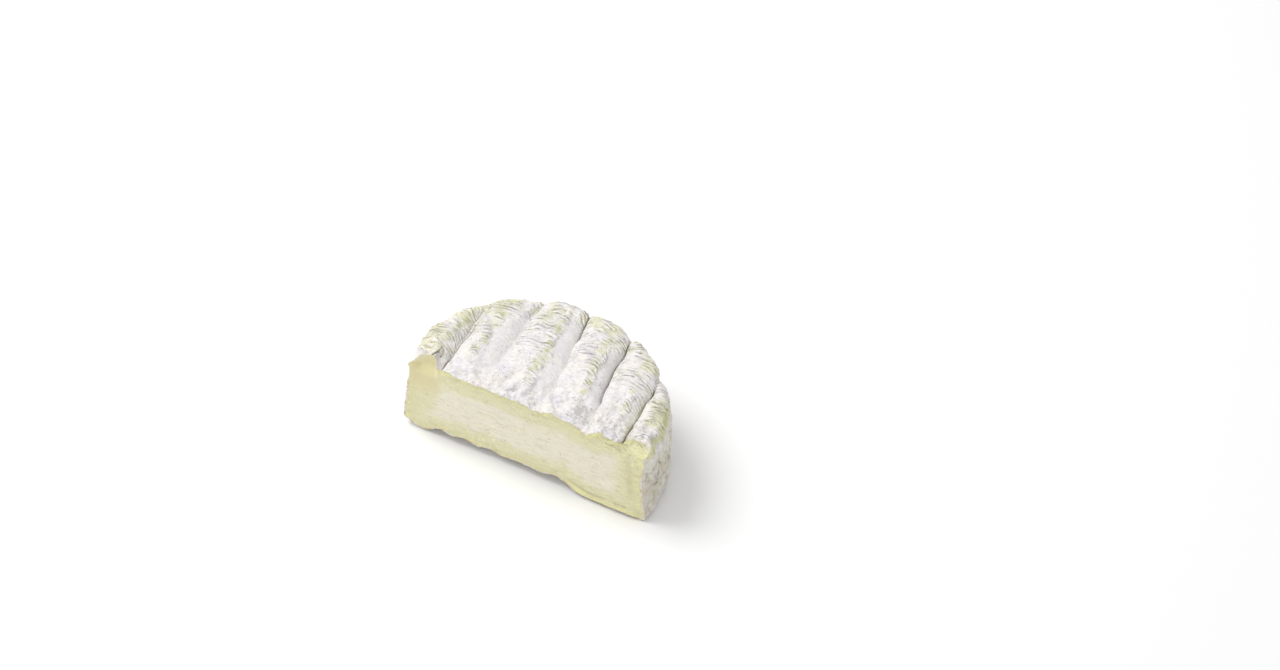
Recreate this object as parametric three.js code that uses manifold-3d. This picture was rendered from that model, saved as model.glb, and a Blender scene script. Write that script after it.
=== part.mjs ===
// Half of a small soft cheese wheel with a bloomy rind, cut straight across and resting on its
// underside. Millimetres, +Z up. X runs along the cut face and +Y points into the round side.
// The half wheel is one solid: rind and paste grew together, so there is nothing to separate.
import * as THREE from 'three';
import { mergeVertices } from 'three/addons/utils/BufferGeometryUtils.js';
import Module from 'manifold-3d';

const wasm = await Module();
wasm.setup();

// ---- driving dimensions --------------------------------------------------------------------
const WHEEL_RADIUS = 53; // at the foot of the side
const WHEEL_HEIGHT = 37.2; // ridges of the lobes above the underside
const CENTRE_BEHIND_CUT = 1.9; // the knife passed this far from the wheel's axis
const SIDE_BULGE = 1; // the side swells by this much at mid height
const END_PINCH = 3.2; // and draws in by this much where the +X end meets the cut
const TOP_ROUNDING = 5; // radius where the top rolls over into the side
const FOOT_ROUNDING = 2.5; // radius where the side tucks under
const TOP_TILT = 0.02; // the top climbs this much for each millimetre of +X
const CORNER_SLUMP = 5; // the -X end of the cut leans inward by this much at the top
const CORNER_RISE = 2.2; // and the lobe there stands this much proud, round CORNER_AT
const CORNER_AT = -42;
const CORNER_SPREAD = 5;
const BACK_SWELL = 3; // the wheel is out of round: its radius grows by this much
const BACK_ANGLE = THREE.MathUtils.degToRad(132); // round this direction
const BACK_SPREAD = THREE.MathUtils.degToRad(38);
const UNDERSIDE_LIFT = 3.4; // the cut edge of the underside stands this far off the table
const UNDERSIDE_EXTRA = 0.5; // shaved off the foot to give a true flat face to rest on
const RIDGE_TO_FURROW = 2.5; // drop from a lobe's ridge down its +X flank
const NEAR_SHOULDER = 1.1; // drop at a lobe's -X edge
const RIM_CALM = 0.75; // the flanks die away by this share towards the rim
const RIDGES = [0.7, 0.38, 0.58, 0.62, 0.62, 0.5]; // how far across each lobe its ridge lies

// Furrows pressed into the top. Each runs back from the cut: x where it meets the cut, how far x
// drifts for each millimetre of y, how it bends with y squared, and its depth at rim and cut.
const FURROWS = [
  { x: -35.2, drift: -0.03, bend: 0, rim: 1.8, cut: 1.6 },
  { x: -17, drift: -0.06, bend: 0, rim: 1.8, cut: 0.5 },
  { x: 8, drift: -0.18, bend: 0, rim: 1.8, cut: 0.4 },
  { x: 28.2, drift: -0.29, bend: 0.0019, rim: 2, cut: 1.2 },
  { x: 41.9, drift: -0.1, bend: 0, rim: 2, cut: 2.2 },
];
const FURROW_HALF_WIDTH = 2.2;
const LOBE_PITCH = 20; // the outermost lobes are taken to be this wide
const SIDE_LOBES_FROM = 0.3; // the lobes fade out down the side between these shares
const SIDE_LOBES_FULL = 0.85; // of the height

const AROUND = 132; // segments round the whole wheel
const ROW_STEP = 3.4; // spacing of the lathe rows on the flat faces

// ---- helpers -------------------------------------------------------------------------------
const { clamp, lerp, smoothstep: smooth } = THREE.MathUtils;

function arc(cx, cy, radius, from, to, steps) {
  return Array.from({ length: steps + 1 }, (_, i) => {
    const a = from + ((to - from) * i) / steps;
    return new THREE.Vector2(cx + radius * Math.cos(a), cy + radius * Math.sin(a));
  });
}

function row(fromX, toX, y) {
  const count = Math.round(Math.abs(toX - fromX) / ROW_STEP);
  return Array.from(
    { length: count },
    (_, i) => new THREE.Vector2(fromX + ((toX - fromX) * i) / count, y),
  );
}

// ---- the whole wheel, turned ---------------------------------------------------------------
function wheelProfile() {
  const top = WHEEL_HEIGHT;
  const foot = -UNDERSIDE_EXTRA;
  const rimR = WHEEL_RADIUS - TOP_ROUNDING;
  const footR = WHEEL_RADIUS - FOOT_ROUNDING;
  const sideFrom = foot + FOOT_ROUNDING;
  const sideTo = top - TOP_ROUNDING;
  const side = [1, 2, 3, 4, 5, 6, 7].map((i) => {
    const t = i / 8;
    const y = sideFrom + (sideTo - sideFrom) * t;
    return new THREE.Vector2(WHEEL_RADIUS + SIDE_BULGE * Math.sin(Math.PI * t), y);
  });
  return [
    ...row(0, footR, foot),
    ...arc(footR, sideFrom, FOOT_ROUNDING, -Math.PI / 2, 0, 4),
    ...side,
    ...arc(rimR, sideTo, TOP_ROUNDING, 0, Math.PI / 2, 6),
    ...row(rimR, 0, top).slice(1),
    new THREE.Vector2(0, top),
  ];
}

function turnedWheel() {
  const lathe = new THREE.LatheGeometry(wheelProfile(), AROUND);
  lathe.rotateX(Math.PI / 2);
  lathe.translate(0, CENTRE_BEHIND_CUT, 0);
  lathe.deleteAttribute('normal');
  lathe.deleteAttribute('uv');
  const merged = mergeVertices(lathe, 1e-3);
  merged.computeVertexNormals();
  return merged;
}

// ---- relief --------------------------------------------------------------------------------
// How far the top lies below the lobes' ridges at (x, y).
function lobeDepth(x, y) {
  const back = clamp(y / WHEEL_RADIUS, 0, 1);
  const lines = FURROWS.map((f) => f.x + f.drift * y + f.bend * y * y);
  const first = lines[0] - LOBE_PITCH;
  const last = lines[lines.length - 1] + LOBE_PITCH;
  const edges = [first, ...lines, last];
  const i = Math.max(1, edges.findIndex((edge) => edge > x));
  const across = (x - edges[i - 1]) / (edges[i] - edges[i - 1]);
  const ridge = RIDGES[i - 1];
  const shoulder = NEAR_SHOULDER * clamp(1 - across / 0.3, 0, 1) ** 2;
  const flank = RIDGE_TO_FURROW * clamp((across - ridge) / (1 - ridge), 0, 1) ** 1.25;
  const outward = Math.hypot(x, y - CENTRE_BEHIND_CUT) / WHEEL_RADIUS;
  const calm = 1 - RIM_CALM * smooth(outward, 0.78, 0.98);
  let depth = (shoulder + flank) * lerp(0.2, 1, smooth(back, 0, 0.45)) * calm;
  FURROWS.forEach((f, k) => {
    const deep = lerp(f.cut, f.rim, back);
    depth += 0.5 * deep * Math.exp(-(((x - lines[k]) / FURROW_HALF_WIDTH) ** 2));
  });
  return depth;
}

function underside(x, y) {
  const along = smooth(x, -46, -30) * (1 - smooth(x, 12, 28));
  return UNDERSIDE_LIFT * along * Math.exp(-Math.max(y, 0) / 14);
}

// The radius grows towards the back, and the side draws in at the ends of the cut. Returns the
// share by which x and y grow.
function outOfRound(p, up) {
  const angle = Math.atan2(p.y, p.x);
  const outward = Math.hypot(p.x, p.y) / WHEEL_RADIUS;
  const back = BACK_SWELL * Math.exp(-(((angle - BACK_ANGLE) / BACK_SPREAD) ** 2));
  const waist = Math.sin(Math.PI * clamp(up, 0, 1)) ** 0.7;
  const pinch = lerp(SIDE_BULGE, END_PINCH, smooth(p.x, -10, 10)) * waist;
  return (back - pinch * (1 - smooth(p.y, 0, 15)) * smooth(outward, 0.6, 1)) / WHEEL_RADIUS;
}

function relieve(geometry) {
  const place = geometry.getAttribute('position');
  const normal = geometry.getAttribute('normal');
  const p = new THREE.Vector3();
  const n = new THREE.Vector3();
  for (let i = 0; i < place.count; i += 1) {
    p.fromBufferAttribute(place, i);
    n.fromBufferAttribute(normal, i);
    const up = p.z / WHEEL_HEIGHT;
    const swell = outOfRound(p, up);
    p.x += swell * p.x;
    p.y += swell * p.y;
    const lobes = smooth(up, SIDE_LOBES_FROM, SIDE_LOBES_FULL);
    const lift = underside(p.x, p.y) * (1 - smooth(up, 0, 0.5));
    const corner = smooth(-p.x, 30, 52) * (1 - smooth(p.y, 3, 20));
    const slump = CORNER_SLUMP * corner * clamp(up, 0, 1);
    const depth = lobeDepth(p.x, p.y) * lobes;
    p.addScaledVector(n, -depth);
    const proud = Math.exp(-(((p.x - CORNER_AT) / CORNER_SPREAD) ** 2)) * (1 - smooth(p.y, 6, 24));
    p.z += TOP_TILT * p.x * up + lift + CORNER_RISE * proud * smooth(up, 0.6, 1);
    p.x += slump;
    place.setXYZ(i, p.x, p.y, p.z);
  }
  geometry.deleteAttribute('normal');
  return geometry;
}

// ---- solids --------------------------------------------------------------------------------
function solid(geometry) {
  return new wasm.Manifold(
    new wasm.Mesh({
      numProp: 3,
      vertProperties: new Float32Array(geometry.getAttribute('position').array),
      triVerts: new Uint32Array(geometry.index.array),
    }),
  );
}

function block(x, y, z, cx, cy, cz) {
  const box = new THREE.BoxGeometry(x, y, z);
  box.translate(cx, cy, cz);
  box.deleteAttribute('normal');
  box.deleteAttribute('uv');
  return solid(mergeVertices(box, 1e-3));
}

function geometryOf(manifold) {
  const mesh = manifold.getMesh();
  const geometry = new THREE.BufferGeometry();
  geometry.setAttribute('position', new THREE.BufferAttribute(mesh.vertProperties, 3));
  geometry.setIndex(new THREE.BufferAttribute(mesh.triVerts, 1));
  return geometry;
}

const BIG = 4 * WHEEL_RADIUS;
const cheese = solid(relieve(turnedWheel()))
  .subtract(block(BIG, BIG, BIG, 0, -BIG / 2, 0)) // the knife cut, on y = 0
  .subtract(block(BIG, BIG, BIG, 0, 0, -BIG / 2)); // the table, on z = 0

const geometry = geometryOf(cheese);
geometry.computeBoundingBox();
const centre = geometry.boundingBox.getCenter(new THREE.Vector3());
geometry.translate(-centre.x, -centre.y, 0);

const halfWheel = new THREE.Mesh(
  geometry,
  new THREE.MeshStandardMaterial({ color: 0xe6e2d8, roughness: 0.75, metalness: 0 }),
);
halfWheel.name = 'half_wheel';

const group = new THREE.Group();
group.add(halfWheel);
export default group;
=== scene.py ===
"""Half of a small soft cheese wheel with a bloomy rind: its finished surface and a plain studio.

The fine mesh is worked out in millimetres from the middle of the cut, with X along the cut, Y back
into the wheel and Z up from the table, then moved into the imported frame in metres.
"""
import itertools
import math

import bpy
import numpy as np
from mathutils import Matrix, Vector


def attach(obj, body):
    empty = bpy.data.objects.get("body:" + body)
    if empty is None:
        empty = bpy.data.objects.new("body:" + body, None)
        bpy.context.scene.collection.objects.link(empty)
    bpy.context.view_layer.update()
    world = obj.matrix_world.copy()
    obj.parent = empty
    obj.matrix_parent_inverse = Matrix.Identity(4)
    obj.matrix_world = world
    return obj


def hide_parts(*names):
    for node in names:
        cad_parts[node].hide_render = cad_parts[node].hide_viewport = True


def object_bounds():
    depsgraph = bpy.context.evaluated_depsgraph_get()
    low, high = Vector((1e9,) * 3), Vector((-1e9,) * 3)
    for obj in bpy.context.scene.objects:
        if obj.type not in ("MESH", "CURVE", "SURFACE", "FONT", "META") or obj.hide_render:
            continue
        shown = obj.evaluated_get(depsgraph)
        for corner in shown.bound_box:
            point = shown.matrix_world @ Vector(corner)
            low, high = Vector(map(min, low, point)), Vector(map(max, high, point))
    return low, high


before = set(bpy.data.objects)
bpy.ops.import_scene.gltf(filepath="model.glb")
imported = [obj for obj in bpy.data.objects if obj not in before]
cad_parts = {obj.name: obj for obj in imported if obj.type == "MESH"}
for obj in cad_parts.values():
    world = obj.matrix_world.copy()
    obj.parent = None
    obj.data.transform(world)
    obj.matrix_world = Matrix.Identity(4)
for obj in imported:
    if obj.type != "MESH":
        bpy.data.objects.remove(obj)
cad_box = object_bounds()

MM = 0.001

# ---- the wheel's own sizes, as in the CAD model ----------------------------------------------
WHEEL_RADIUS = 53.0       # at the foot of the side
WHEEL_HEIGHT = 37.2       # ridges of the lobes above the underside
CENTRE_BEHIND_CUT = 1.9   # the knife passed this far from the wheel's axis
SIDE_BULGE = 1.0
END_PINCH = 3.2           # the side draws in at mid height where the +X end meets the cut
TOP_ROUNDING = 5.0
FOOT_ROUNDING = 2.5
TOP_TILT = 0.02           # climb for each millimetre of +X
CORNER_SLUMP = 5.0        # the -X end of the cut leans inward by this much at the top
CORNER_RISE = 2.2         # and the lobe there stands this much proud, round CORNER_AT
CORNER_AT = -42.0
CORNER_SPREAD = 5.0
BACK_SWELL = 3.0          # the radius grows by this much round BACK_ANGLE
BACK_ANGLE = math.radians(132)
BACK_SPREAD = math.radians(38)
UNDERSIDE_LIFT = 3.4      # the cut edge of the underside stands this far off the table
LIFT_REACH = 14.0         # and comes down over this depth
LOBE_PITCH = 20.0         # the outermost lobes are taken to be this wide
RIDGES = np.array([0.7, 0.38, 0.58, 0.62, 0.62, 0.5])  # share of each lobe before its ridge
RIDGE_TO_FURROW = 2.5     # drop from a lobe's ridge down its +X flank
NEAR_SHOULDER = 1.1       # drop at a lobe's -X edge
RIM_CALM = 0.75           # the flanks die away by this share towards the rim
FURROW_WIDTH = 2.2
# Furrows on the top: x at the cut, drift of x for each mm of y, bend of x for each mm2 of y
# squared, depth at the rim and depth at the cut.
FURROWS = (
    (-35.2, -0.03, 0.0, 1.8, 1.6),
    (-17.0, -0.06, 0.0, 1.8, 0.5),
    (8.0, -0.18, 0.0, 1.8, 0.4),
    (28.2, -0.29, 0.0019, 2.0, 1.2),
    (41.9, -0.10, 0.0, 2.0, 2.2),
)

# ---- mesh density ----------------------------------------------------------------------------
ALONG = 248               # quads along the cut
BACK = 128                # quads from the cut to the back of the top
DOWN = 76                 # quads from the top down the side


# ---- small helpers ---------------------------------------------------------------------------
def smoothstep(low, high, value):
    t = np.clip((value - low) / (high - low), 0.0, 1.0)
    return t * t * (3.0 - 2.0 * t)


def bell(value, middle, spread):
    return np.exp(-(((value - middle) / spread) ** 2))


def hashed(cells, seed):
    """A repeatable number from -1 to 1 for each whole-number cell."""
    i, j, k = (cells[:, n].astype(np.uint32) for n in range(3))
    h = i * np.uint32(374761393) + j * np.uint32(668265263) + k * np.uint32(2246822519)
    h = h + np.uint32(seed * 40503 + 977)
    h = (h ^ (h >> np.uint32(15))) * np.uint32(2246822519)
    h = (h ^ (h >> np.uint32(13))) * np.uint32(3266489917)
    h = h ^ (h >> np.uint32(16))
    return h.astype(np.float64) / 2147483648.0 - 1.0


def noise(points, size, seed):
    """Smooth gradient noise, about -1 to 1, with features about size across."""
    q = points / size
    cell = np.floor(q).astype(np.int64)
    inside = q - cell
    fade = inside**3 * (inside * (6.0 * inside - 15.0) + 10.0)
    total = np.zeros(len(points))
    for corner in itertools.product((0, 1), repeat=3):
        at = cell + np.array(corner)
        away = inside - np.array(corner)
        dot = sum(hashed(at, seed * 3 + n) * away[:, n] for n in range(3))
        weight = np.prod(np.where(corner, fade, 1.0 - fade), axis=1)
        total += weight * dot
    return 1.5 * total


# ---- the smooth body -------------------------------------------------------------------------
def reach(angle, radius):
    """Distance from the middle of the cut to the circle of this radius about the wheel's axis."""
    off = CENTRE_BEHIND_CUT
    return off * np.sin(angle) + np.sqrt(radius**2 - (off * np.cos(angle)) ** 2)


def half_disc(along, back):
    """The unit half disc for along in -1..1 and back in 0..1, as an angle and a share of radius."""
    a = along * np.sqrt(1.0 - back**2 / 2.0)
    b = back * np.sqrt(1.0 - along**2 / 2.0)
    return np.arctan2(b, a), np.hypot(a, b)


def side_profile(rows):
    """Insets, heights and outward normals down the side, from the top's edge to the underside's."""
    arc_top = TOP_ROUNDING * math.pi / 2
    wall = WHEEL_HEIGHT - TOP_ROUNDING - FOOT_ROUNDING
    arc_foot = FOOT_ROUNDING * math.pi / 2
    s = np.linspace(0.0, arc_top + wall + arc_foot, rows + 1)
    turn = np.clip(s / arc_top, 0, 1) * math.pi / 2
    turn_foot = np.clip((s - arc_top - wall) / arc_foot, 0, 1) * math.pi / 2
    fallen = np.clip(s - arc_top, 0, wall)
    inset = TOP_ROUNDING * (1 - np.sin(turn)) + FOOT_ROUNDING * (1 - np.cos(turn_foot))
    height = WHEEL_HEIGHT - TOP_ROUNDING * (1 - np.cos(turn)) - fallen
    height = height - FOOT_ROUNDING * np.sin(turn_foot)
    outward = np.sin(turn) * np.cos(turn_foot)
    upward = np.cos(turn) - np.sin(turn_foot)
    return inset - SIDE_BULGE * np.sin(math.pi * fallen / wall), height, outward, upward


def placed(angle, far, height, outward, upward):
    """Points and normals of the smooth body, at a distance from the middle of the cut."""
    angle, far, height, outward, upward = np.broadcast_arrays(
        angle, far, height, outward, upward
    )
    x = far * np.cos(angle)
    y = far * np.sin(angle)
    from_axis = np.maximum(np.hypot(x, y - CENTRE_BEHIND_CUT), 1e-6)
    points = np.stack([x, y, height], -1).reshape(-1, 3)
    normals = np.stack(
        [outward * x / from_axis, outward * (y - CENTRE_BEHIND_CUT) / from_axis, upward], -1
    ).reshape(-1, 3)
    return points, normals


# ---- relief on the rind ----------------------------------------------------------------------
# A crack runs along the bottom of each furrow: the y where it starts, its depth, how far it takes
# to open, and the share of it that is left at the rim.
CRACKS = ((0.0, 0.8, 1.0, 0.5), (36.0, 0.6, 8.0, 1.0), (34.0, 0.9, 8.0, 1.0),
          (9.0, 0.9, 8.0, 1.0), (0.0, 1.0, 1.0, 0.8))
CRACK_WIDTH = 0.42
CREASE_AT = -39.6         # x of a short deep crease beside the first furrow
CREASE_ENDS = (1.0, 12.5)  # and its y at each end
CREASE_HOLLOW = 0.5       # depth of its hollow, which opens towards +X
CREASE_HOLLOW_WIDTH = 1.6
CREASE_SLIT = 1.15        # and of the slit in it
CREASE_SLIT_WIDTH = 0.4
RIPPLE_PITCH = 1.75       # between the wrinkles that cross the lobes


class Rind:
    """Where each point lies on the rind of the smooth body."""

    def __init__(self, points):
        self.x, self.y, self.z = points.T
        self.up = self.z / WHEEL_HEIGHT
        self.back = np.clip(self.y / WHEEL_RADIUS, 0, 1)
        flat = np.stack([self.x * 0.3, self.y, self.z * 0.3], 1)
        # Away from the cut the furrows wander a little off their lines.
        wander = 1.1 * noise(flat, 10.0, 11) * smoothstep(0, 14, self.y)
        self.lines = [
            x0 + (drift + bend * self.y) * self.y + wander for x0, drift, bend, _, _ in FURROWS
        ]
        edges = np.stack([self.lines[0] - LOBE_PITCH, *self.lines, self.lines[-1] + LOBE_PITCH])
        right = np.clip((edges < self.x).sum(0), 1, len(edges) - 1)
        column = np.arange(len(points))
        left_x, right_x = edges[right - 1, column], edges[right, column]
        self.across = np.clip((self.x - left_x) / (right_x - left_x), 0, 1)
        self.ridge = RIDGES[right - 1] + 0.09 * noise(flat, 6.0, 12) * (right > 1)
        outward = np.hypot(self.x, self.y - CENTRE_BEHIND_CUT) / WHEEL_RADIUS
        self.rim = smoothstep(0.72, 0.97, outward)
        self.calm = 1 - RIM_CALM * smoothstep(0.78, 0.98, outward)
        self.side = smoothstep(0.92, 0.55, self.up)      # 0 on the top, 1 on the side
        self.lobes = smoothstep(0.3, 0.85, self.up)      # how strongly the lobes show

    def furrows(self):
        """Broad grooves between the rounded lobes, in mm."""
        shoulder = np.clip(1 - self.across / 0.3, 0, 1) ** 2
        flank = np.clip((self.across - self.ridge) / (1 - self.ridge), 0, 1) ** 1.25
        depth = NEAR_SHOULDER * shoulder + RIDGE_TO_FURROW * flank
        depth = depth * (0.2 + 0.8 * smoothstep(0, 0.45, self.back)) * self.calm
        depth = depth + CREASE_HOLLOW * self.crease(CREASE_HOLLOW_WIDTH)
        for line, (_, _, _, at_rim, at_cut) in zip(self.lines, FURROWS):
            deep = at_cut + (at_rim - at_cut) * self.back
            depth = depth + 0.5 * deep * bell(self.x, line, FURROW_WIDTH)
        return depth * self.lobes

    def cracks(self):
        """The narrow dark lines along the furrows, as a depth in mm."""
        depth = np.zeros(len(self.x))
        for line, (start, deep, opening, at_rim) in zip(self.lines, CRACKS):
            opened = smoothstep(start - 0.01, start + opening, self.y)
            kept = 1 + (at_rim - 1) * smoothstep(0.35, 0.7, self.back)
            depth = depth + deep * opened * kept * bell(self.x, line, CRACK_WIDTH)
        depth = depth + CREASE_SLIT * self.crease(CREASE_SLIT_WIDTH)
        return depth * smoothstep(0.35, 0.9, self.up)

    def crease(self, width):
        """A share from 0 to 1: sharp on the crease's -X side, and width wide on the other."""
        low, high = CREASE_ENDS
        beyond = self.x - CREASE_AT + 0.04 * (self.y - 7) ** 2
        width = np.where(beyond < 0, CREASE_SLIT_WIDTH, width)
        across = bell(beyond, 0, width)
        return across * smoothstep(low, low + 3, self.y) * smoothstep(high, high - 8, self.y)


def wheel_shape(points, normals):
    """The body's broad form, as the CAD model has it. Returns new points."""
    x, y, _ = points.T
    rind = Rind(points)
    angle = np.arctan2(y, x)
    from_middle = np.hypot(x, y)
    swell = BACK_SWELL * bell(angle, BACK_ANGLE, BACK_SPREAD) / WHEEL_RADIUS
    pinch = SIDE_BULGE + (END_PINCH - SIDE_BULGE) * smoothstep(-10, 10, x)
    at_ends = pinch * (1 - smoothstep(0, 15, y)) * np.sin(math.pi * np.clip(rind.up, 0, 1)) ** 0.7
    swell = swell - at_ends / WHEEL_RADIUS * smoothstep(0.6, 1.0, from_middle / WHEEL_RADIUS)
    out = points.copy()
    out[:, 0] += swell * x
    out[:, 1] += swell * y
    corner = smoothstep(30, 52, -x) * (1 - smoothstep(3, 20, y))
    slump = CORNER_SLUMP * corner * np.clip(rind.up, 0, 1)
    out -= normals * rind.furrows()[:, None]
    proud = CORNER_RISE * bell(x, CORNER_AT, CORNER_SPREAD) * (1 - smoothstep(6, 24, y))
    out[:, 2] += TOP_TILT * x * rind.up + proud * smoothstep(0.6, 1, rind.up)
    out[:, 0] += slump
    return out


class Relief:
    """Lumps, wrinkles, pits and cracks: a height in mm along the normal, and what to paint."""

    def __init__(self, points):
        self.points = points
        self.rind = rind = Rind(points)
        self.near_cut = 1 - smoothstep(4, 20, rind.y)
        self.at_ends = rind.side * (1 - smoothstep(0, 7, rind.y))
        self.top = 1 - rind.side
        self.mark_lobes()
        self.crack = rind.cracks()
        self.height = self.lumps() + self.wrinkles() + self.plates() - self.crack - 0.25

    def mark_lobes(self):
        """The parts of each lobe: its ridge, its smooth flank and plateau, and ruffled skin."""
        rind = self.rind
        beyond = rind.across - rind.ridge
        flank = smoothstep(0.04, 0.16, beyond)
        plateau = (1 - smoothstep(-0.16, -0.02, beyond)) * bell(rind.back, 0.3, 0.24)
        calm = np.maximum(0.68 * flank, plateau) * (1 - rind.rim)
        calm = np.maximum(calm, 0.55 * self.near_cut) * smoothstep(-38, -33, rind.x)
        ruffled = 1 - smoothstep(0.2, 0.75, calm + 0.3 * noise(self.points, 6.0, 23))
        wall = bell(rind.x, CREASE_AT + 2.8, 2.2) * (1 - smoothstep(5, 12, rind.y))
        self.ruffled = ruffled * self.top * (1 - wall)
        self.ridge = bell(beyond, 0.0, 0.12) * smoothstep(8, 18, rind.y) * self.top
        self.flank = flank * smoothstep(4, 14, rind.y) * (1 - rind.rim) * self.top
        # The yellow line where the +X lobe turns down into the side, near the cut.
        turning = bell(rind.up, 0.93, 0.045) * smoothstep(30, 42, rind.x)
        self.turning = turning * smoothstep(34, 20, rind.y)

    def lumps(self):
        """Broad unevenness all over, and knobs along the cut that are fewer towards -X."""
        rind, points = self.rind, self.points
        broad = 0.7 * noise(points, 9.0, 21) + 0.35 * noise(points, 3.8, 22)
        knobs = 1.9 * np.abs(noise(points, 4.6, 19)) + np.abs(noise(points, 2.3, 16)) - 0.8
        bumpy = 2.7 * noise(points, 7.5, 20) + knobs * (0.35 + 0.65 * smoothstep(-28, -4, rind.x))
        fringe = 0.45 * (1 - smoothstep(0, 3, rind.y)) * noise(points, 1.7, 18)
        bosses = 1.9 * bell(rind.y, 7.5, 5) * np.maximum(noise(points, 5.2, 17), -0.1)
        bumpy = self.near_cut * bumpy + fringe + bosses
        return (broad + bumpy * self.top) * (1 - 0.8 * self.at_ends)

    def wrinkles(self):
        """Folds across the lobes, strong only in patches, bowed towards the back at mid lobe."""
        points = self.points
        bowed = points[:, 1] + 3.0 * (2 * self.rind.across - 1) ** 2 + 2.2 * noise(points, 9.0, 24)
        self.ripple = bowed / RIPPLE_PITCH + 0.6 * noise(points, 4.5, 25)
        strong = smoothstep(-0.35, 0.35, noise(points / np.array([1.7, 1.0, 1.0]), 2.6, 26))
        self.strong = strong * self.ruffled
        folds = 0.6 * strong * np.abs(np.sin(math.pi * self.ripple))
        folds = folds + 0.35 * np.abs(noise(points / np.array([2.4, 1.0, 1.0]), 1.3, 30))
        return folds * (0.08 + 0.92 * self.ruffled) * self.top

    def plates(self):
        """Rounded plates with crevices between them down the side, rougher in patches."""
        rind, points = self.rind, self.points
        grain = noise(points, 1.4, 28)
        plates = noise(points / np.array([1.0, 1.0, 1.35]), 3.4, 27)
        rough = smoothstep(-0.35, 0.3, noise(points, 8.0, 31)) * smoothstep(0.05, 0.4, rind.up)
        rough = (0.3 + 0.7 * rough) * (rind.side - 0.6 * self.at_ends)
        crevice = bell(plates, 0, 0.11) * smoothstep(-0.5, 0.3, grain)
        # The side's crevices and low spots, where its colour gets painted shade.
        self.pit = np.clip(crevice + 0.35 * smoothstep(0, -0.7, grain), 0, 1) * rough
        return (2.2 * np.minimum(np.abs(plates), 0.4) + 0.4 * grain) * rough


# ---- the underside and the cut ---------------------------------------------------------------
def lifted(points):
    """Raises the cut edge of the underside off the table, with a gently scalloped line."""
    x, y, z = points.T
    span = smoothstep(-46, -34, x) * (1 - smoothstep(14, 28, x))
    along = np.stack([x, np.zeros_like(x), np.zeros_like(x)], 1)
    scallop = 0.55 * np.cos(2 * math.pi * (x + 26) / 11) * (1 - smoothstep(-12, -4, x))
    scallop = scallop + 0.7 * bell(x, 13, 3.5)
    scallop = scallop + 0.35 * noise(along, 4.5, 31) + 0.22 * noise(along, 1.8, 32)
    near = np.exp(-np.maximum(y, 0) / LIFT_REACH)
    edge = np.exp(-np.maximum(y, 0) / 5)
    corner = 2.4 * smoothstep(-46.5, -51, x) * np.exp(-np.maximum(y, 0) / 6)
    lift = UNDERSIDE_LIFT * span * near + scallop * (0.25 + span) * edge + corner
    out = points.copy()
    out[:, 2] += np.maximum(lift, 0) * (1 - smoothstep(0, 0.5, z / WHEEL_HEIGHT))
    return out


def cut_surface(x, z):
    """How far the cut face stands out from its plane at (x, z), in mm, towards +Y."""
    plane = np.stack([x, np.zeros_like(x), z], 1)
    # The knife's slow wander and its drag lines, then the paste's grains.
    wave = 0.3 * noise(plane, 21.0, 41) + 0.12 * noise(plane, 6.0, 42)
    drag = 0.14 * noise(plane / np.array([9.0, 1.0, 1.2]), 1.0, 43)
    drag = drag + 0.09 * noise(plane / np.array([5.0, 1.0, 0.8]), 1.0, 44)
    grains = noise(plane, 1.3, 45)
    crumbs = -0.22 * smoothstep(0.3, 0.75, grains) + 0.2 * smoothstep(0.35, 0.8, -grains)
    # A bead along the foot at +X, a rubbed band, and the two upper corners, cut back.
    bead = -1.2 * bell(z, 2.0, 1.3) * smoothstep(17, 26, x) * (1 - smoothstep(46, 50, x))
    smear = 0.35 * bell(x, 45.0, 1.6) * smoothstep(9, 16, z)
    crumbled = 3.4 * smoothstep(32.5, 37.5, z) * smoothstep(39.5, 43.5, x)
    sliced = 2.6 * smoothstep(30, 36, z) * smoothstep(-48, -44, x) * (1 - smoothstep(-39, -36, x))
    return wave + drag + crumbs + bead + smear + crumbled + sliced


# ---- mesh ------------------------------------------------------------------------------------
class Surface:
    """Collects shared vertices, and faces with their map corners and material."""

    def __init__(self):
        self.points = np.zeros((0, 3))
        self.faces, self.corners, self.materials = [], [], []

    def add(self, points):
        first = len(self.points)
        self.points = np.vstack([self.points, points])
        return np.arange(first, len(self.points))

    def cover(self, ids, place, material, flip):
        """Adds quads over a grid of vertex ids, each corner placed on the map."""
        grid = [ids[:-1, :-1], ids[:-1, 1:], ids[1:, 1:], ids[1:, :-1]]
        spots = [place[:-1, :-1], place[:-1, 1:], place[1:, 1:], place[1:, :-1]]
        order = (3, 2, 1, 0) if flip else (0, 1, 2, 3)
        quads = np.stack([grid[n] for n in order], -1).reshape(-1, 4)
        corners = np.stack([spots[n] for n in order], -2).reshape(-1, 4, 2)
        self.faces += quads.tolist()
        self.corners += corners.reshape(-1, 2).tolist()
        self.materials += [material] * len(quads)

    def triangle(self, ids, corners, material):
        self.faces.append(list(ids))
        self.corners += corners
        self.materials.append(material)


RIND, PASTE = 0, 1
ATLAS = 178.0             # side of the square map, in mm of cheese
CUT_REACH = 12.0          # the cut's unevenness is felt this far back into the rind
MAT_PITCH = 3.4           # between the draining mat's lines on the underside
BASE_SHRINK = 0.012       # the underside's grid stops this share short of the foot
SIDE_RUN = 1.03 * math.pi * WHEEL_RADIUS   # the side's strip on the map: its length
SIDE_FALL = WHEEL_HEIGHT + 5.0             # and its height
TOP_ON_MAP = (50.0, 48.0)
SIDE_ON_MAP = (2.0, 3.0)
BASE_ON_MAP = (55.0, 104.0)
CUT_ON_MAP = (110.0, 103.0)


def rim_of(ids):
    """The ids round a half-disc grid's curved edge, from the +X end of the cut to the -X end."""
    return np.concatenate([ids[:-1, -1], ids[-1, ::-1], ids[-2::-1, 0]])


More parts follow.
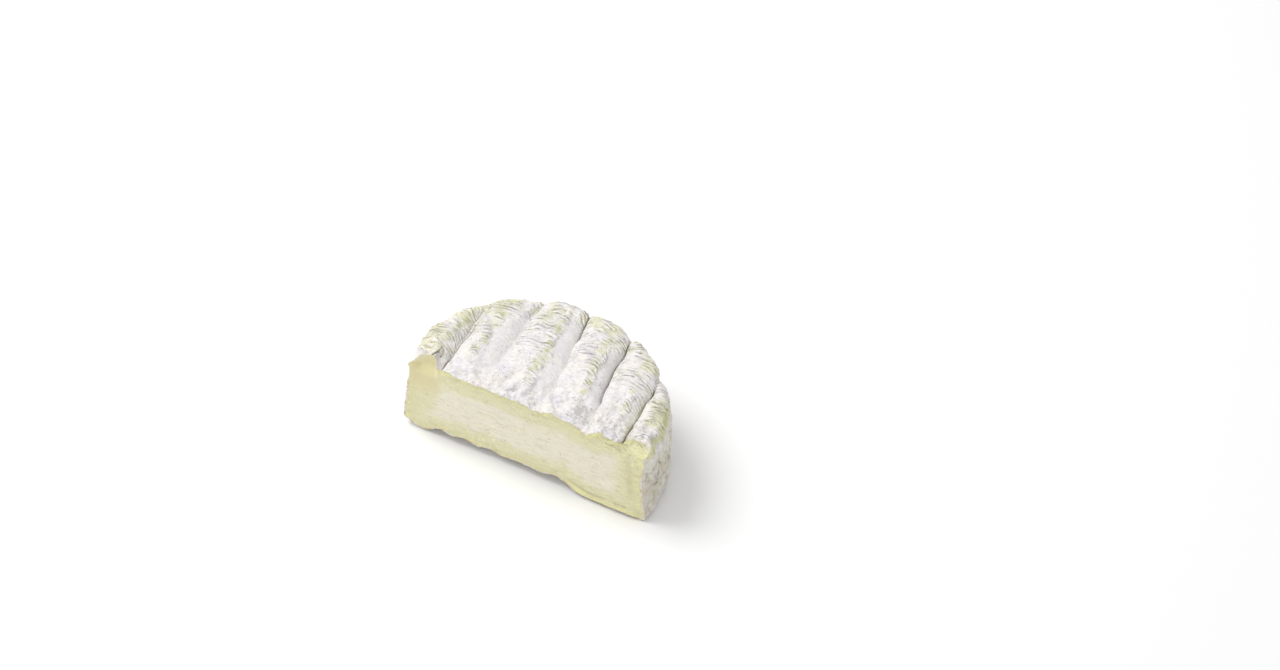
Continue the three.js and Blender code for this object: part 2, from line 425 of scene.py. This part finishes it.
def half_disc_grid(along, back, shrink=0.0):
    """Angles and radius shares of a half-disc grid, optionally drawn in from its outline."""
    u, v = np.meshgrid(np.linspace(-1, 1, along + 1), np.linspace(0, 1, back + 1))
    return half_disc(u * (1 - shrink), shrink + v * (1 - 2 * shrink))


def on_map(points, offset, axes=(0, 1)):
    """Where points fall on the square map, taken along two of their axes and moved by an offset."""
    return (points[..., list(axes)] + np.array(offset)) / ATLAS


def cut_back(points):
    """Draws the rind near the cut along with the cut face's own rise and fall."""
    near = np.clip(1 - points[:, 1] / CUT_REACH, 0, 1)
    out = points.copy()
    out[:, 1] = np.maximum(points[:, 1], 0) + cut_surface(points[:, 0], points[:, 2]) * near
    return out


def finished_rind(points, normals):
    """Broad form, fine relief and lifted foot for points of the smooth body."""
    height = Relief(points).height[:, None]
    return cut_back(lifted(wheel_shape(points, normals) + normals * height))


def finished_base(points, normals):
    """The underside, with dents and the lines that a draining mat leaves."""
    shaped = wheel_shape(points, normals)
    x, y, _ = points.T
    lines = 2 * math.pi * (y + 0.8 * noise(points, 12.0, 51)) / MAT_PITCH
    worn = smoothstep(-0.3, 0.4, noise(points, 15.0, 52))
    dents = 0.6 * np.maximum(noise(points, 6.0, 53), 0) + 0.2 * np.abs(noise(points, 2.0, 54))
    inside_foot = smoothstep(0.98, 0.9, np.hypot(x, y) / WHEEL_RADIUS)
    shaped[:, 2] += (0.3 * (1 + np.sin(lines)) * worn + dents) * inside_foot
    return cut_back(lifted(shaped))


def add_top(s):
    """The top, as a grid of vertex ids with their angles round the middle of the cut."""
    angle, share = half_disc_grid(ALONG, BACK)
    far = share * reach(angle, WHEEL_RADIUS - TOP_ROUNDING)
    flat = placed(angle, far, WHEEL_HEIGHT, 0.0, 1.0)
    top = s.add(finished_rind(*flat)).reshape(angle.shape)
    s.cover(top, on_map(flat[0].reshape(*angle.shape, 3), TOP_ON_MAP), RIND, flip=False)
    return top, angle


def add_side(s, rim, rim_angle):
    """The round side, hung from the top's rim."""
    inset, height, outward, upward = (a[:, None] for a in side_profile(DOWN))
    far = reach(rim_angle[None, :], WHEEL_RADIUS - inset)
    wall = finished_rind(*placed(rim_angle[None, :], far, height, outward, upward))
    wall = wall.reshape(DOWN + 1, len(rim), 3)
    side = np.zeros((DOWN + 1, len(rim)), int)
    side[0] = rim
    side[1:] = s.add(wall[1:].reshape(-1, 3)).reshape(DOWN, -1)
    run = np.linspace(0, SIDE_RUN, len(rim))
    fall = np.linspace(SIDE_FALL, 0, DOWN + 1)
    spread = np.stack(np.broadcast_arrays(run[None, :], fall[:, None]), -1)
    s.cover(side, on_map(spread, SIDE_ON_MAP), RIND, flip=True)
    return side


def add_base_edge(s, foot):
    """The underside's cut edge, which carries on from the two ends of the foot."""
    angle, share = half_disc(np.linspace(-1, 1, ALONG + 1)[1:-1], 0.0)
    far = share * reach(angle, WHEEL_RADIUS - FOOT_ROUNDING)
    edge = s.add(finished_base(*placed(angle, far, 0.0, 0.0, -1.0)))
    return np.concatenate([[foot[-1]], edge, [foot[0]]])


def add_base(s, foot, base_edge):
    """The underside, at half the top's density, stitched to the finer foot all the way round."""
    along, back = ALONG // 2, BACK // 2
    shape = (back + 1, along + 1)
    angle, share = half_disc_grid(along, back, shrink=BASE_SHRINK)
    far = share * reach(angle, WHEEL_RADIUS - FOOT_ROUNDING)
    base = s.add(finished_base(*placed(angle, far, 0.0, 0.0, -1.0))).reshape(shape)
    s.cover(base, on_map(s.points[base], BASE_ON_MAP), RIND, flip=True)
    inner = np.concatenate([rim_of(base), base[0, 1:-1]])
    outer = np.concatenate([foot, base_edge[1:-1]])
    for n, here in enumerate(inner):
        nxt = inner[(n + 1) % len(inner)]
        a, b, c = (outer[(2 * n + k) % len(outer)] for k in range(3))
        for ids in ((here, b, a), (here, nxt, b), (nxt, c, b)):
            s.triangle(ids, on_map(s.points[list(ids)], BASE_ON_MAP).tolist(), RIND)


def add_cut(s, top, right, bottom, left):
    """Vertex ids over the cut face, blended between its four edges."""
    t = np.linspace(0, 1, len(top))[None, :, None]
    d = np.linspace(0, 1, len(left))[:, None, None]
    p = s.points
    across = (1 - d) * p[top][None] + d * p[bottom][None]
    down = (1 - t) * p[left][:, None] + t * p[right][:, None]
    ends = (1 - d) * ((1 - t) * p[top[0]] + t * p[top[-1]])
    ends = ends + d * ((1 - t) * p[bottom[0]] + t * p[bottom[-1]])
    inside = (across + down - ends)[1:-1, 1:-1].reshape(-1, 3)
    inside[:, 1] = cut_surface(inside[:, 0], inside[:, 2])
    cut = np.zeros((len(left), len(top)), int)
    cut[0], cut[-1], cut[:, 0], cut[:, -1] = top, bottom, left, right
    cut[1:-1, 1:-1] = s.add(inside).reshape(len(left) - 2, len(top) - 2)
    s.cover(cut, on_map(s.points[cut], CUT_ON_MAP, (2, 0)), PASTE, flip=True)
    return cut


def build_surface():
    """The whole surface, and the grid of vertex ids over its cut face."""
    s = Surface()
    top, angle = add_top(s)
    side = add_side(s, rim_of(top), rim_of(angle))
    base_edge = add_base_edge(s, side[-1])
    add_base(s, side[-1], base_edge)

    # The cut face fills the outline that the knife left.
    outline = (top[0], side[:, 0], base_edge, side[:, -1])
    for ids in outline:
        p = s.points[ids]
        s.points[ids, 1] = cut_surface(p[:, 0], p[:, 2])
    return s, add_cut(s, *outline)


# ---- what the materials read -----------------------------------------------------------------
SHORT_ALONG_X = 0.6       # the riper paste reaches further in from the two ends of the cut
FAR_ABOVE = 99.0          # mm above the foot, for points that aren't on the cut


def distance_to_outline(points, outline):
    """Distance of each point from a closed outline's points, counted short along X."""
    nearest = np.full(len(points), np.inf)
    for ring in np.array_split(outline, 12):
        gap = points[:, None, [0, 2]] - ring[None][:, :, [0, 2]]
        nearest = np.minimum(nearest, np.hypot(SHORT_ALONG_X * gap[..., 0], gap[..., 1]).min(1))
    return nearest


def rind_fields(points):
    """What the rind's material reads, at each point of the finished surface."""
    rind, relief = Rind(points), Relief(points)
    return {
        "crack": np.clip(relief.crack, 0, 1), "valley": np.clip(rind.furrows() / 3.0, 0, 1),
        "ripple": relief.ripple, "strong": relief.strong, "ruffled": relief.ruffled,
        "ridge": relief.ridge, "flank": relief.flank, "turning": relief.turning,
        "pit": relief.pit, "rim": rind.rim, "side": rind.side, "up": rind.up,
    }


def cut_fields(points, cut, outline):
    """What the paste's material reads: the distance in from the rind, and the cut's odd spots."""
    x, _, z = points.T
    inset = np.zeros(len(points))
    inside = cut[1:-1, 1:-1].ravel()
    inset[inside] = distance_to_outline(points[inside], points[outline])
    edge = points[cut[-1]]
    above_foot = np.full(len(points), FAR_ABOVE)
    above_foot[cut] = points[cut, 2] - np.interp(points[cut, 0], edge[:, 0], edge[:, 2])
    at_bead = smoothstep(15, 22, x) * (1 - smoothstep(47, 51, x))
    smear = bell(x + 0.05 * z, 46.2, 1.4) * smoothstep(6, 13, z) * smoothstep(33, 27, z)
    return {
        "inset": inset,
        "corner": smoothstep(-33, -38, x) * smoothstep(18, 27, z),
        "lip": bell(above_foot, 1.7, 0.8) * at_bead,
        "under": (bell(above_foot, 0.3, 0.5) + 0.6 * bell(above_foot, 3.2, 0.5)) * at_bead,
        "smear": smear,
        "notch": bell(x, 37.0, 8.0) * bell(z, 34.5, 3.0),
    }


def sharpen(mesh, outline):
    """Marks the edges of the cut face's outline as sharp."""
    on_outline = np.zeros(len(mesh.vertices), bool)
    on_outline[outline] = True
    ends = np.zeros(len(mesh.edges) * 2, int)
    mesh.edges.foreach_get("vertices", ends)
    sharp = mesh.attributes.new("sharp_edge", "BOOLEAN", "EDGE")
    sharp.data.foreach_set("value", on_outline[ends.reshape(-1, 2)].all(1))


def make_cheese():
    """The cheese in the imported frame, and the move in mm that took it there."""
    surface, cut = build_surface()
    points = surface.points
    mesh = bpy.data.meshes.new("half_wheel_of_cheese")
    cad_low, cad_high = cad_box
    low, high = points.min(0), points.max(0)
    shift = np.array([
        (cad_low.x + cad_high.x) / 2 / MM - (low[0] + high[0]) / 2,
        cad_low.y / MM,
        cad_low.z / MM - low[2],
    ])
    mesh.from_pydata(((points + shift) * MM).tolist(), [], surface.faces)
    mesh.polygons.foreach_set("material_index", surface.materials)
    uv = mesh.uv_layers.new(name="OFBake")
    uv.data.foreach_set("uv", np.array(surface.corners).ravel())
    outline = np.concatenate([cut[0], cut[1:, -1], cut[-1, -2::-1], cut[-2:0:-1, 0]])
    for name, values in {**rind_fields(points), **cut_fields(points, cut, outline)}.items():
        layer = mesh.attributes.new(name, "FLOAT", "POINT")
        layer.data.foreach_set("value", np.asarray(values, np.float32))
    mesh.update()
    mesh.polygons.foreach_set("use_smooth", [True] * len(mesh.polygons))
    sharpen(mesh, outline)
    cheese = bpy.data.objects.new("half_wheel_of_cheese", mesh)
    bpy.context.scene.collection.objects.link(cheese)
    return cheese, shift


# ---- studio ----------------------------------------------------------------------------------
CAMERA_FROM_CUT = (470.4, -749.6, 965.7)   # from the foot of the cut's middle, in mm
CAMERA_DOWN = 45.3                          # degrees below level
CAMERA_TURN = 29.3                          # degrees from +Y towards -X
LENS = 98.4
SENSOR = 36                                 # mm, as the lens
SKY = 0.76                                  # strength of the even white light all round
KEY_PLACE = (-0.64, -0.06, 1.05)            # metres
KEY_AIM = (0, 0, 0.02)
KEY_SIZE = 0.8
KEY_POWER = 9.0
FLOOR_SIZE = 6.0                            # metres
FLOOR_WHITE = 0.9


def make_camera(shift):
    camera = bpy.data.objects.new("camera", bpy.data.cameras.new("camera"))
    camera.location = Vector((np.array(CAMERA_FROM_CUT) + shift) * MM)
    camera.rotation_euler = (math.radians(90 - CAMERA_DOWN), 0, math.radians(CAMERA_TURN))
    camera.data.lens = LENS
    camera.data.sensor_width = SENSOR
    camera.data.clip_end = 50
    bpy.context.scene.collection.objects.link(camera)
    bpy.context.scene.camera = camera


def make_sky():
    world = bpy.data.worlds.new("studio")
    world.use_nodes = True
    background = world.node_tree.nodes["Background"]
    background.inputs["Color"].default_value = (1, 1, 1, 1)
    background.inputs["Strength"].default_value = SKY
    bpy.context.scene.world = world


def make_key_light():
    light = bpy.data.lights.new("key", "AREA")
    light.shape = "DISK"
    light.size = KEY_SIZE
    light.energy = KEY_POWER
    lamp = bpy.data.objects.new("key", light)
    lamp.location = KEY_PLACE
    lamp.rotation_euler = (Vector(KEY_AIM) - lamp.location).to_track_quat("-Z", "Y").to_euler()
    bpy.context.scene.collection.objects.link(lamp)


def make_floor():
    mesh = bpy.data.meshes.new("floor")
    h = FLOOR_SIZE / 2
    mesh.from_pydata([(-h, -h, 0), (h, -h, 0), (h, h, 0), (-h, h, 0)], [], [(0, 1, 2, 3)])
    floor = bpy.data.objects.new("floor", mesh)
    paper = bpy.data.materials.new("white_paper")
    paper.use_nodes = True
    shader = paper.node_tree.nodes["Principled BSDF"]
    shader.inputs["Base Color"].default_value = (FLOOR_WHITE, FLOOR_WHITE, FLOOR_WHITE, 1)
    shader.inputs["Roughness"].default_value = 0.9
    mesh.materials.append(paper)
    bpy.context.scene.collection.objects.link(floor)


def make_studio():
    bpy.context.scene.view_settings.view_transform = "Standard"
    make_sky()
    make_key_light()
    make_floor()


# ---- colours ---------------------------------------------------------------------------------
def srgb(red, green, blue):
    """A colour given the way a screen shows it, as the shader's linear values."""
    return tuple(((c / 255 + 0.055) / 1.055) ** 2.4 for c in (red, green, blue)) + (1.0,)


BLOOM = srgb(240, 236, 235)
BLOOM_DULL = srgb(230, 226, 223)
BLOOM_GREY = srgb(215, 211, 210)
BLOOM_LILAC = srgb(228, 224, 230)
BLOOM_CREAM = srgb(241, 234, 227)
WORN_YELLOW = srgb(222, 219, 188)
RIDGE_GREEN = srgb(206, 207, 154)
TURNING_GREEN = srgb(210, 208, 150)
FLANK_SHADE = srgb(228, 225, 225)
VALLEY_SHADE = srgb(220, 216, 213)
FLECK_TAN = srgb(196, 180, 170)
SPECK_GREY = srgb(146, 142, 138)
FOLD_HIGHLIGHT = srgb(246, 244, 241)
FOLD_SHADE_GREY = srgb(132, 129, 122)
FOLD_SHADE_OLIVE = srgb(134, 131, 86)
CRACK_SHADE = srgb(112, 104, 82)

SIDE_WHITE = srgb(233, 229, 222)
SIDE_TAN = srgb(213, 207, 190)
SIDE_BLOOM = srgb(226, 221, 219)
SIDE_YELLOW = srgb(216, 212, 182)
SIDE_GREY = srgb(196, 190, 170)
SIDE_PIT_SHADE = srgb(132, 126, 104)

PASTE_RIPE = srgb(230, 226, 190)
PASTE_CORE = srgb(239, 234, 216)
PASTE_RIM = srgb(221, 217, 172)
PASTE_STREAK = srgb(213, 206, 168)
PASTE_BRIGHT = srgb(250, 247, 200)
PASTE_DARK = srgb(172, 162, 112)
PASTE_TORN = srgb(176, 166, 112)
PASTE_CRUMB = srgb(242, 238, 170)
PASTE_RUBBED = srgb(205, 196, 148)
PASTE_CORNER = srgb(219, 209, 163)
PASTE_SHADOW = srgb(150, 144, 96)
SKIN_WHITE = srgb(226, 218, 210)
SKIN_PINK = srgb(196, 164, 142)


# ---- materials -------------------------------------------------------------------------------
class Nodes:
    """Short names for the few shader nodes that the materials use."""

    def __init__(self, name):
        self.material = bpy.data.materials.new(name)
        self.material.use_nodes = True
        self.tree = self.material.node_tree
        self.shader = self.tree.nodes["Principled BSDF"]
        self.place = self.tree.nodes.new("ShaderNodeTexCoord").outputs["Object"]

    def feed(self, socket, value):
        if hasattr(value, "is_linked"):
            self.tree.links.new(value, socket)
        else:
            socket.default_value = value

    def field(self, name):
        node = self.tree.nodes.new("ShaderNodeAttribute")
        node.attribute_name = name
        return node.outputs["Fac"]

    def math(self, operation, *values):
        node = self.tree.nodes.new("ShaderNodeMath")
        node.operation = operation
        for socket, value in zip(node.inputs, values):
            self.feed(socket, value)
        return node.outputs[0]

    def times(self, first, *others):
        for other in others:
            first = self.math("MULTIPLY", first, other)
        return first

    def ramp(self, value, low, high, to_low=0.0, to_high=1.0):
        """A smooth step from one value to another as the input goes from low to high."""
        node = self.tree.nodes.new("ShaderNodeMapRange")
        node.interpolation_type = "SMOOTHSTEP"
        for socket, v in zip(node.inputs, (value, low, high, to_low, to_high)):
            self.feed(socket, v)
        return node.outputs[0]

    def noise(self, size, detail=2.0, stretch=(1, 1, 1), shift=(0, 0, 0)):
        """Noise from 0 to 1 with features about size mm across, stretched along each axis."""
        mapping = self.tree.nodes.new("ShaderNodeMapping")
        self.feed(mapping.inputs["Vector"], self.place)
        mapping.inputs["Scale"].default_value = [1 / (size * MM * k) for k in stretch]
        mapping.inputs["Location"].default_value = shift
        node = self.tree.nodes.new("ShaderNodeTexNoise")
        node.inputs["Scale"].default_value = 1.0
        node.inputs["Detail"].default_value = detail
        self.feed(node.inputs["Vector"], mapping.outputs[0])
        return node.outputs["Fac"]

    def mix(self, amount, a, b):
        """Colour a where the amount is 0, and colour b where it is 1."""
        node = self.tree.nodes.new("ShaderNodeMix")
        node.data_type = "RGBA"
        self.feed(node.inputs["Factor"], amount)
        self.feed(node.inputs["A"], a)
        self.feed(node.inputs["B"], b)
        return node.outputs["Result"]

    def bump(self, height, distance):
        node = self.tree.nodes.new("ShaderNodeBump")
        node.inputs["Distance"].default_value = distance * MM
        self.feed(node.inputs["Height"], height)
        self.feed(self.shader.inputs["Normal"], node.outputs["Normal"])


def bloom_colour(n, blotch, fine):
    """The white mould: blotched and speckled with grey, drifting between lilac and cream."""
    lilac = n.noise(6.0, shift=(4, 4, 1))
    colour = n.mix(n.ramp(blotch, 0.35, 0.7), BLOOM, BLOOM_DULL)
    colour = n.mix(n.ramp(fine, 0.46, 0.62, 0.0, 0.8), colour, BLOOM_GREY)
    colour = n.mix(n.ramp(lilac, 0.5, 0.68, 0.0, 0.8), colour, BLOOM_LILAC)
    return n.mix(n.ramp(lilac, 0.48, 0.32, 0.0, 0.7), colour, BLOOM_CREAM)


def side_colour(n, cloud, blotch, fine):
    """The side: greyer and mottled, yellower towards the top, with painted shade in its pits."""
    colour = n.mix(n.ramp(cloud, 0.38, 0.6), SIDE_WHITE, SIDE_TAN)
    colour = n.mix(n.ramp(blotch, 0.45, 0.65, 0.0, 0.6), colour, SIDE_BLOOM)
    colour = n.mix(n.ramp(n.field("up"), 0.45, 0.85, 0.0, 0.55), colour, SIDE_YELLOW)
    colour = n.mix(n.ramp(fine, 0.48, 0.6, 0.0, 0.5), colour, SIDE_GREY)
    # Painted shade in the side's pits.
    return n.mix(n.times(n.field("pit"), 0.95), colour, SIDE_PIT_SHADE)


def rind_material():
    n = Nodes("bloomy_rind")
    cloud = n.noise(9.0, shift=(3, 1, 7))
    blotch = n.noise(3.2, shift=(8, 2, 5))
    fine = n.noise(1.2, detail=3.0, shift=(6, 5, 9))
    grain = n.noise(0.7, detail=3.0)
    patchy = n.noise(2.6, detail=3.0)

    # Yellow shows through the bloom round the rim, in the wrinkles and on the lobes' ridges.
    worn = n.math("ADD", n.times(n.field("rim"), 0.4), n.times(n.field("ruffled"), 0.35))
    worn = n.times(worn, n.ramp(cloud, 0.36, 0.62))
    worn = n.math("ADD", worn, n.times(n.field("corner"), 0.22))
    ridge = n.times(n.field("ridge"), n.ramp(patchy, 0.42, 0.6))
    turning = n.times(n.field("turning"), n.ramp(blotch, 0.3, 0.5, 0.4, 0.9))
    colour = n.mix(n.ramp(worn, 0.1, 0.7, 0.0, 0.8), bloom_colour(n, blotch, fine), WORN_YELLOW)
    colour = n.mix(n.ramp(ridge, 0.1, 1.0, 0.0, 0.6), colour, RIDGE_GREEN)

    # Flecks and specks in the bloom, with painted shade on the lobes' +X flanks and in the furrows.
    flecks = n.times(n.ramp(grain, 0.56, 0.7), n.ramp(blotch, 0.5, 0.68), 0.35)
    specks = n.times(n.ramp(grain, 0.43, 0.37), n.ramp(cloud, 0.52, 0.6), 0.55)
    colour = n.mix(flecks, colour, FLECK_TAN)
    # Painted shade on the lobes' +X flanks.
    colour = n.mix(n.times(n.field("flank"), 0.4), colour, FLANK_SHADE)
    colour = n.mix(turning, colour, TURNING_GREEN)
    colour = n.mix(specks, colour, SPECK_GREY)
    # Painted shade in the furrows, deeper where the furrow is deeper.
    colour = n.mix(n.ramp(n.field("valley"), 0.15, 0.9, 0.0, 0.5), colour, VALLEY_SHADE)

    # Painted highlights on the wrinkles' crests and broken lines of painted shade in their creases,
    # in step with the folds of the mesh.
    strong = n.field("strong")
    fold = n.math("ABSOLUTE", n.math("SINE", n.times(n.field("ripple"), math.pi)))
    broken = n.ramp(n.noise(1.5, shift=(2, 6, 4), stretch=(1.7, 1, 1)), 0.44, 0.56)
    # Painted highlights on the wrinkles' crests.
    crest_highlights = n.times(n.ramp(fold, 0.5, 0.9, 0.0, 0.75), strong, broken)
    # Broken lines of painted shade in the wrinkles' creases, olive where the rind is yellow.
    lines = n.times(n.ramp(fold, 0.36, 0.06), broken, strong, 0.85)
    colour = n.mix(crest_highlights, colour, FOLD_HIGHLIGHT)
    colour = n.mix(lines, colour, n.mix(n.ramp(worn, 0.1, 0.5), FOLD_SHADE_GREY, FOLD_SHADE_OLIVE))

    colour = n.mix(n.field("side"), colour, side_colour(n, cloud, blotch, fine))
    # Painted shade along the cracks at the bottom of the furrows.
    colour = n.mix(n.ramp(n.field("crack"), 0.15, 0.9, 0.0, 0.85), colour, CRACK_SHADE)
    n.feed(n.shader.inputs["Base Color"], colour)
    n.shader.inputs["Roughness"].default_value = 0.82
    n.shader.inputs["Specular IOR Level"].default_value = 0.25
    n.shader.inputs["Subsurface Weight"].default_value = 0.12
    n.shader.inputs["Subsurface Radius"].default_value = (0.0012, 0.0010, 0.0007)
    n.shader.inputs["Subsurface Scale"].default_value = 1.0
    nap = n.math("ADD", grain, n.noise(0.35))
    n.bump(n.math("ADD", n.times(fold, strong, 2.4), nap), 0.25)
    return n.material


def paste_material():
    n = Nodes("soft_paste")
    inset, corner, notch = n.field("inset"), n.field("corner"), n.times(n.field("notch"), 0.9)
    cloud = n.noise(7.0, shift=(1, 9, 4))
    streaks = n.noise(0.5, detail=3.0, stretch=(11, 1, 1))
    grain = n.noise(0.5, detail=3.0, shift=(5, 5, 5), stretch=(1.8, 1, 1))
    clumps = n.noise(2.2, shift=(7, 3, 2), stretch=(1.6, 1, 1))
    tears = n.noise(1.6, shift=(9, 5, 1), stretch=(1.6, 1, 0.7))

    # A paler, chalkier core inside the riper paste under the rind, with the knife's drag lines.
    depth = n.math("ADD", inset, n.times(n.math("SUBTRACT", cloud, 0.5), 9.0))
    colour = n.mix(n.ramp(depth, 5.5, 9.5), PASTE_RIPE, PASTE_CORE)
    colour = n.mix(n.ramp(inset, 5.0, 0.8, 0.0, 0.75), colour, PASTE_RIM)
    colour = n.mix(n.ramp(streaks, 0.48, 0.68, 0.0, 0.5), colour, PASTE_STREAK)

    # Bright and dark grains in clumps, and the torn spot where the last furrow meets the cut.
    bright = n.times(n.ramp(grain, 0.56, 0.66, 0.0, 0.9), n.ramp(clumps, 0.42, 0.6))
    dark = n.math("MINIMUM", n.math("ADD", n.ramp(clumps, 0.47, 0.36), notch), 1.0)
    colour = n.mix(bright, colour, PASTE_BRIGHT)
    colour = n.mix(n.times(n.ramp(grain, 0.43, 0.34, 0.0, 0.6), dark), colour, PASTE_DARK)
    colour = n.mix(n.times(notch, n.ramp(tears, 0.44, 0.38, 0.0, 0.7)), colour, PASTE_TORN)

    # Crumbs along the edge and on the foot's bead, then the rubbed band and the tan corner.
    crumbs = n.math("ADD", n.ramp(inset, 2.4, 0.5), n.times(notch, 0.8))
    crumbs = n.math("ADD", n.times(crumbs, n.ramp(clumps, 0.5, 0.6)), n.field("lip"))
    rubbed = n.times(n.field("smear"), n.ramp(cloud, 0.3, 0.6, 0.2, 0.6))
    colour = n.mix(n.times(n.math("MINIMUM", crumbs, 1.0), 0.55), colour, PASTE_CRUMB)
    colour = n.mix(rubbed, colour, PASTE_RUBBED)
    colour = n.mix(n.times(corner, 0.8), colour, PASTE_CORNER)

    # The shadowed lines above and below the bead, and the thin skin at the side and the foot.
    shadow = n.times(n.field("under"), n.ramp(clumps, 0.38, 0.52), 0.75)
    edge = n.times(n.ramp(inset, 0.9, 0.3), n.ramp(n.field("up"), 0.75, 0.6), 0.8)
    colour = n.mix(shadow, colour, PASTE_SHADOW)
    colour = n.mix(edge, colour, n.mix(n.ramp(clumps, 0.45, 0.6), SKIN_WHITE, SKIN_PINK))

    n.feed(n.shader.inputs["Base Color"], colour)
    n.feed(n.shader.inputs["Roughness"], n.ramp(cloud, 0.3, 0.7, 0.5, 0.68))
    n.shader.inputs["Specular IOR Level"].default_value = 0.35
    n.shader.inputs["Subsurface Weight"].default_value = 0.2
    n.shader.inputs["Subsurface Radius"].default_value = (0.0022, 0.0018, 0.0009)
    n.shader.inputs["Subsurface Scale"].default_value = 1.0
    rough = n.math("ADD", n.times(streaks, 1.3), n.times(grain, 1.2))
    n.bump(n.times(rough, n.math("SUBTRACT", 1.0, corner)), 0.25)
    return n.material


# ---- the scene -------------------------------------------------------------------------------
cheese, shift = make_cheese()
cheese.data.materials.append(rind_material())
cheese.data.materials.append(paste_material())
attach(cheese, "root")
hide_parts("half_wheel")
make_camera(shift)
make_studio()
